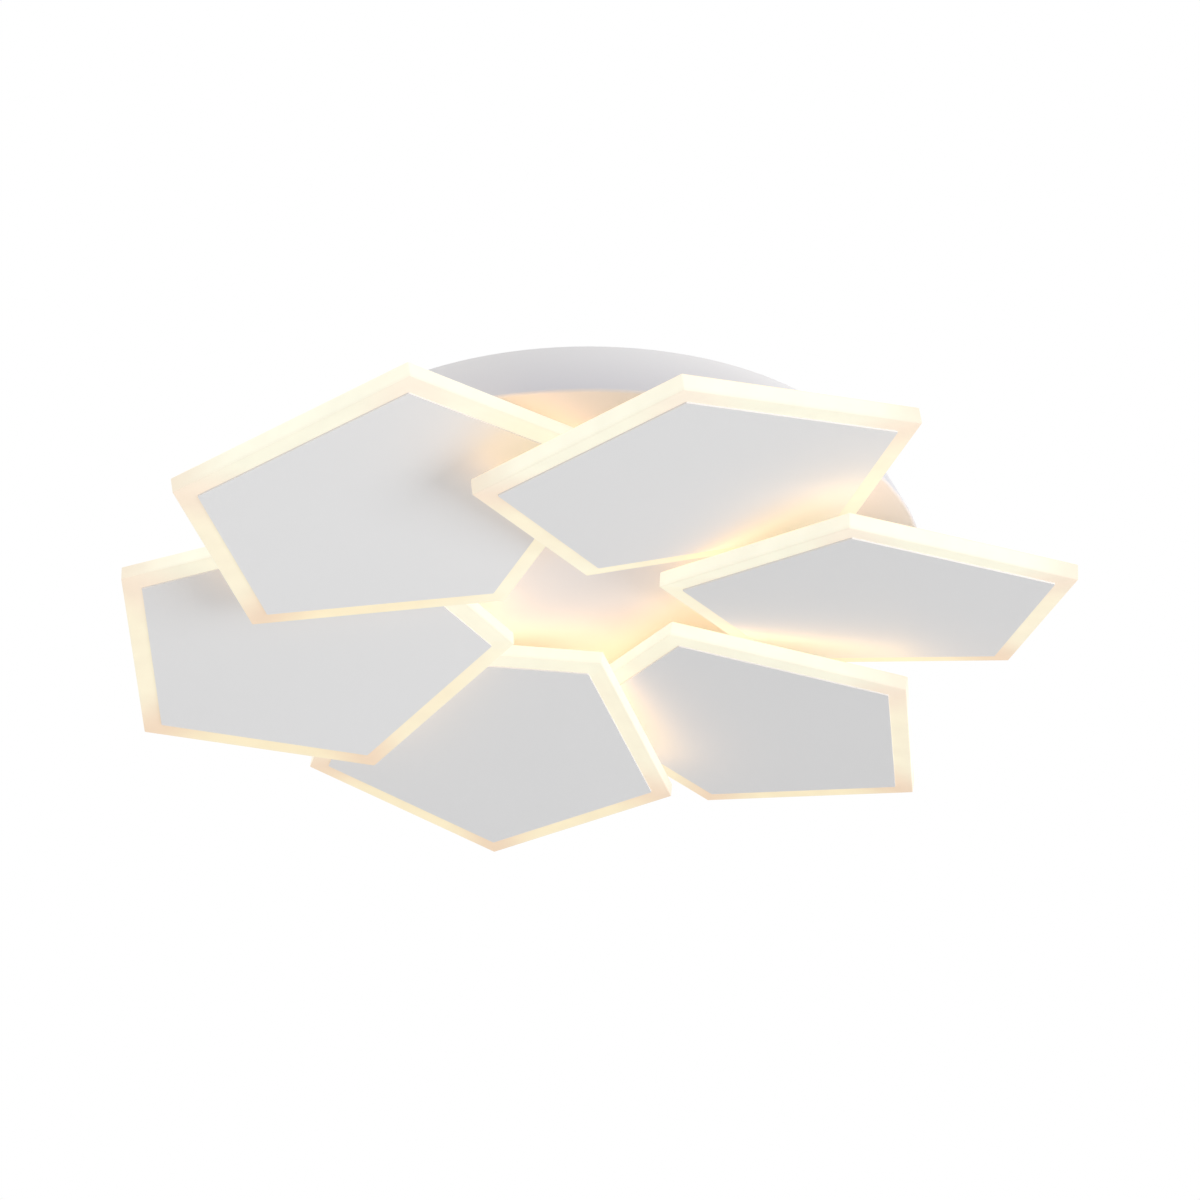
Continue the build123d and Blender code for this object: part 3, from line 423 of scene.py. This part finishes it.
def finish_metal(name, colour, stretch, stain, smooth, rough):
    material, sheet, surface, place = new_material(name)
    look = sheet.group(
        "drawn metal",
        Vector=place, Colour=colour, Stretch=stretch, Stain=stain, Smooth=smooth, Rough=rough,
    )
    sheet.feed(surface, Metallic=1.0)
    coat(sheet, surface, look, strength=0.22, distance=0.00008)
    return material


def mould(sheet, place, colour, scale, smooth, rough):
    return sheet.group(
        "moulded plastic",
        Vector=place, Colour=colour, Texture_scale=scale, Smooth=smooth, Rough=rough,
    )


def finish_plastic(name, colour, scale, smooth, rough):
    material, sheet, surface, place = new_material(name)
    look = mould(sheet, place, colour, scale, smooth, rough)
    coat(sheet, surface, look, strength=0.25, distance=0.00008)
    return material


def finish_acrylic(name, centre, turn, pale_side, inner_side):
    """Frosted acrylic of one petal, its glow laid out in the petal's own axes."""
    material, sheet, surface, place = new_material(name)
    look = sheet.group(
        "rim glow",
        Petal_place=sheet.in_petal(place, centre, turn),
        Pale_side=pale_side, Inner_side=inner_side, Object_place=place,
    )
    light = sheet.blend(sheet.to_eye(), look["Cast light"], look["Glow"])
    sheet.feed(
        surface,
        Base_Color=look["Tint"], Emission_Color=light, Emission_Strength=1.0,
        Roughness=0.55, Specular_IOR_Level=0.3,
    )
    bump(sheet, surface, look["Height"], strength=0.15, distance=0.00006)
    return material


def finish_board(name, centre, turn):
    """White solder resist with copper tracks that run along the sides of the board."""
    material, sheet, surface, place = new_material(name)
    petal_place = sheet.in_petal(place, centre, turn)
    widest = sheet.largest([sheet.dot(petal_place, normal) for normal in EDGE_NORMALS])
    track = sheet.ramp(sheet.math("PINGPONG", widest, 0.0045), 0.0034, 0.0038)
    resist = mould(sheet, place, rgb(238, 238, 234), scale=1800.0, smooth=0.3, rough=0.4)
    shown = sheet.math("MULTIPLY", track, 0.35)
    colour = sheet.blend(shown, resist["Colour"], rgb(196, 190, 176))
    sheet.feed(surface, Base_Color=colour, Roughness=resist["Roughness"])
    bump(sheet, surface, track, strength=0.3, distance=0.00004)
    return material


def finish_chips():
    """Yellow phosphor of the light chips."""
    material, sheet, surface, place = new_material("chip phosphor")
    grain = sheet.noise(place, scale=2400.0)
    colour = sheet.blend(sheet.ramp(grain, 0.35, 0.65), rgb(244, 214, 110), rgb(250, 228, 140))
    glow = sheet.blend(sheet.ramp(grain, 0.2, 0.8), (1.0, 0.74, 0.40, 1), (1.0, 0.82, 0.50, 1))
    sheet.feed(
        surface, Base_Color=colour, Emission_Color=glow, Emission_Strength=1.5, Roughness=0.25
    )
    bump(sheet, surface, grain, strength=0.1, distance=0.00005)
    return material


def finish_galvanised():
    """Zinc spangle over rolled steel."""
    material, sheet, surface, place = new_material("galvanised steel")
    cells = sheet.add("ShaderNodeTexVoronoi", {"feature": "F1"}, Vector=place, Scale=210.0)
    patch = sheet.add("ShaderNodeSeparateColor", Color=cells.outputs["Color"]).outputs[0]
    steel = sheet.group(
        "drawn metal",
        Vector=place, Colour=rgb(186, 190, 193), Stretch=(70, 900, 900),
        Stain=0.14, Smooth=0.34, Rough=0.5,
    )
    colour = sheet.toned(steel["Colour"], sheet.ramp(patch, 0.0, 1.0, 0.86, 1.06, "LINEAR"))
    swing = sheet.ramp(patch, 0.0, 1.0, -0.05, 0.08, "LINEAR")
    roughness = sheet.math("ADD", steel["Roughness"], swing)
    sheet.feed(surface, Metallic=1.0, Base_Color=colour, Roughness=roughness)
    bump(sheet, surface, cells.outputs["Distance"], strength=0.15, distance=0.00006)
    return material


def finish_circuit_board():
    """Green solder resist with a grid of tracks under it."""
    material, sheet, surface, place = new_material("circuit board")
    x, y, _ = sheet.split(place)
    wander = sheet.noise(place, scale=40.0, detail=0.0)
    bend = sheet.math("MULTIPLY", sheet.ramp(wander, 0.45, 0.55), 0.0035)
    across = sheet.math("PINGPONG", sheet.math("ADD", y, bend), 0.0018)
    along = sheet.math("PINGPONG", sheet.math("ADD", x, bend), 0.0030)
    rows = sheet.ramp(across, 0.0011, 0.0013)
    columns = sheet.ramp(along, 0.0025, 0.0027)
    track = sheet.math("MAXIMUM", rows, columns)
    resist = mould(sheet, place, rgb(28, 92, 48), scale=1500.0, smooth=0.22, rough=0.34)
    colour = sheet.blend(track, resist["Colour"], rgb(64, 132, 78))
    sheet.feed(surface, Base_Color=colour, Roughness=resist["Roughness"])
    bump(sheet, surface, track, strength=0.3, distance=0.00005)
    return material


def finish_supply_sheath():
    """Brown, blue and green with yellow sheaths, told apart by where each lead lies."""
    material, sheet, surface, place = new_material("supply sheath")
    x, y, level = sheet.split(place)
    stripe = sheet.math("PINGPONG", sheet.math("ADD", x, y), 0.006)
    earth = sheet.blend(sheet.ramp(stripe, 0.0028, 0.0032), rgb(52, 140, 62), rgb(226, 206, 60))
    past_line = sheet.ramp(x, -0.0060, -0.0055)
    past_neutral = sheet.ramp(x, 0.0050, 0.0055)
    colour = sheet.blend(past_line, rgb(104, 66, 40), rgb(44, 92, 158))
    colour = sheet.blend(past_neutral, colour, earth)
    past_sheath = sheet.ramp(x, 0.0455, 0.0458)
    on_floor = sheet.ramp(level, -0.0411, -0.0412)
    tag = sheet.math("MULTIPLY", past_sheath, on_floor)
    sheath = mould(sheet, place, colour, scale=900.0, smooth=0.3, rough=0.45)
    colour = sheet.blend(tag, sheath["Colour"], rgb(200, 198, 190))
    sheet.feed(surface, Base_Color=colour, Metallic=tag, Roughness=sheath["Roughness"])
    bump(sheet, surface, sheath["Height"], strength=0.15, distance=0.00006)
    return material


# Pieces and their finishes


def petal_axes(joint):
    """Centre, turn, pale side and inner side of the petal on a joint, as it stands at rest."""
    normal = Vector(joint["axis"]).normalized()
    uphill = (Vector((0, 0, 1)) - normal * normal.z).normalized()
    low, high = joint["range_deg"]
    uphill.rotate(Matrix.Rotation(radians(-(low + high) / 2), 3, normal))
    sideways = normal.cross(uphill)
    axes = Matrix((uphill, sideways, normal)).transposed()
    centre = Vector(joint["pos_m"])
    pale = axes.transposed() @ PALE_SIDE
    inner = axes.transposed() @ Vector((-centre.x, -centre.y, 0))
    return centre, axes.to_euler("XYZ"), pale.normalized(), inner.normalized()


def dress(node, material):
    for slot in frame["nodes"][node].material_slots:
        slot.material = material


make_powder_paint_group()
make_drawn_metal_group()
make_moulded_plastic_group()
make_rim_glow_group()

plate_paint = finish_paint("plate paint", rgb(228, 228, 228), cloudiness=0.02)
pan_paint_and_shade = finish_pan()
bracket_paint = finish_paint("bracket paint", rgb(224, 224, 226), cloudiness=0.04)
back_paint_and_glow = finish_back_paint_and_glow()

# Metals: stretch of the drawn lines, stain, least and most roughness
zinc = finish_metal("bright zinc", rgb(200, 203, 206), (900, 900, 120), 0.12, 0.26, 0.4)
nickel = finish_metal("satin nickel", rgb(206, 200, 190), (60, 900, 900), 0.08, 0.2, 0.32)
brass = finish_metal("turned brass", rgb(206, 170, 96), (900, 900, 90), 0.1, 0.24, 0.38)

# Plastics: scale of the texture, least and most roughness
nylon = finish_plastic("natural nylon", rgb(236, 232, 220), 1300.0, 0.42, 0.55)
driver_shell = finish_plastic("driver shell", rgb(234, 234, 232), 1100.0, 0.46, 0.62)
component_black = finish_plastic("component black", rgb(34, 34, 36), 1700.0, 0.35, 0.5)
rubber = finish_plastic("grommet rubber", rgb(206, 206, 204), 1500.0, 0.6, 0.78)
lead_sheath = finish_plastic("lead sheath", rgb(232, 232, 228), 1000.0, 0.36, 0.5)

galvanised = finish_galvanised()
circuit_board = finish_circuit_board()
supply_sheath = finish_supply_sheath()
chips = finish_chips()

for number, joint in enumerate(frame["joints"], start=1):
    centre, turn, pale_side, inner_side = petal_axes(joint)
    acrylic = finish_acrylic(f"glowing acrylic {number}", centre, turn, pale_side, inner_side)
    board_resist = finish_board(f"board resist {number}", centre, turn)
    for piece, material in (
        ("light_guide", acrylic), ("led_board", board_resist), ("face_plate", plate_paint),
        ("back_plate", back_paint_and_glow), ("led_chips", chips), ("back_screws", zinc),
        ("petal_bracket", bracket_paint),
    ):
        dress(f"{piece}_{number}", material)

for node, material in (
    ("pivot_bolts", zinc), ("lock_nuts", zinc), ("pan_screws", zinc), ("stud_nuts", zinc),
    ("friction_washers", nylon), ("terminal_block", nylon), ("canopy_pan", pan_paint_and_shade),
    ("ceiling_crossbar", galvanised), ("side_screws", nickel), ("terminal_screws", brass),
    ("driver_case", driver_shell), ("driver_cover", driver_shell), ("driver_board", circuit_board),
    ("driver_components", component_black), ("lead_grommets", rubber),
    ("petal_leads", lead_sheath), ("supply_leads", supply_sheath),
):
    dress(node, material)


# Room: white surroundings, a pale floor far below and soft studio lamps


def make_surroundings():
    world = bpy.data.worlds.new("white room")
    bpy.context.scene.world = world
    world.use_nodes = True
    sheet = Sheet(world.node_tree)
    soft = sheet.add("ShaderNodeBackground", Color=ROOM_LIGHT, Strength=1.0)
    white = sheet.add("ShaderNodeBackground", Color=WHITE, Strength=1.0)
    seen = sheet.to_eye("Is Transmission Ray")
    sheet.mix_shaders("ShaderNodeOutputWorld", seen, soft, white)


def make_floor():
    mesh = bpy.data.meshes.new("floor")
    shape = bmesh.new()
    level = Matrix.Translation((0, 0, FLOOR_LEVEL))
    bmesh.ops.create_grid(shape, x_segments=1, y_segments=1, size=FLOOR_REACH, matrix=level)
    shape.to_mesh(mesh)
    shape.free()
    floor = bpy.data.objects.new("floor", mesh)
    bpy.context.scene.collection.objects.link(floor)
    material = bpy.data.materials.new("pale floor")
    material.use_nodes = True
    sheet = Sheet(material.node_tree)
    matt = sheet.add("ShaderNodeBsdfDiffuse", Color=(0.8, 0.8, 0.8, 1))
    white = sheet.add("ShaderNodeEmission", Color=WHITE, Strength=1.0)
    camera_ray = sheet.add("ShaderNodeLightPath").outputs["Is Camera Ray"]
    share = sheet.math("MULTIPLY", camera_ray, FLOOR_WHITE_SHARE)
    sheet.mix_shaders("ShaderNodeOutputMaterial", share, matt, white)
    mesh.materials.append(material)


def make_lamp(name, azimuth, elevation, distance, size, power):
    """Square soft lamp aimed at the light; azimuth is counted from +X, elevation from level."""
    data = bpy.data.lights.new(name, "AREA")
    data.shape = "SQUARE"
    data.size = size
    data.energy = power
    lamp = bpy.data.objects.new(name, data)
    around, up = radians(azimuth), radians(elevation)
    away = Vector((cos(around) * cos(up), sin(around) * cos(up), sin(up)))
    lamp.location = away * distance
    lamp.rotation_euler = away.to_track_quat("Z", "Y").to_euler()
    bpy.context.scene.collection.objects.link(lamp)


def make_camera():
    forward = CAMERA_FORWARD.normalized()
    right = CAMERA_DOWN.cross(forward).normalized()
    up = right.cross(forward)
    data = bpy.data.cameras.new("camera")
    data.sensor_width = CAMERA_SENSOR
    data.lens = CAMERA_LENS
    data.clip_end = CAMERA_CLIP
    camera = bpy.data.objects.new("camera", data)
    turned = Matrix((right, up, -forward)).transposed().to_4x4()
    camera.matrix_world = Matrix.Translation(CAMERA_PLACE) @ turned
    bpy.context.scene.collection.objects.link(camera)
    bpy.context.scene.camera = camera


make_surroundings()
make_floor()
make_lamp("key lamp", azimuth=-53, elevation=-25, distance=4.0, size=2.4, power=89.0)
make_lamp("top lamp", azimuth=120, elevation=60, distance=4.0, size=2.6, power=12.0)
make_camera()
bpy.context.scene.view_settings.view_transform = "Standard"
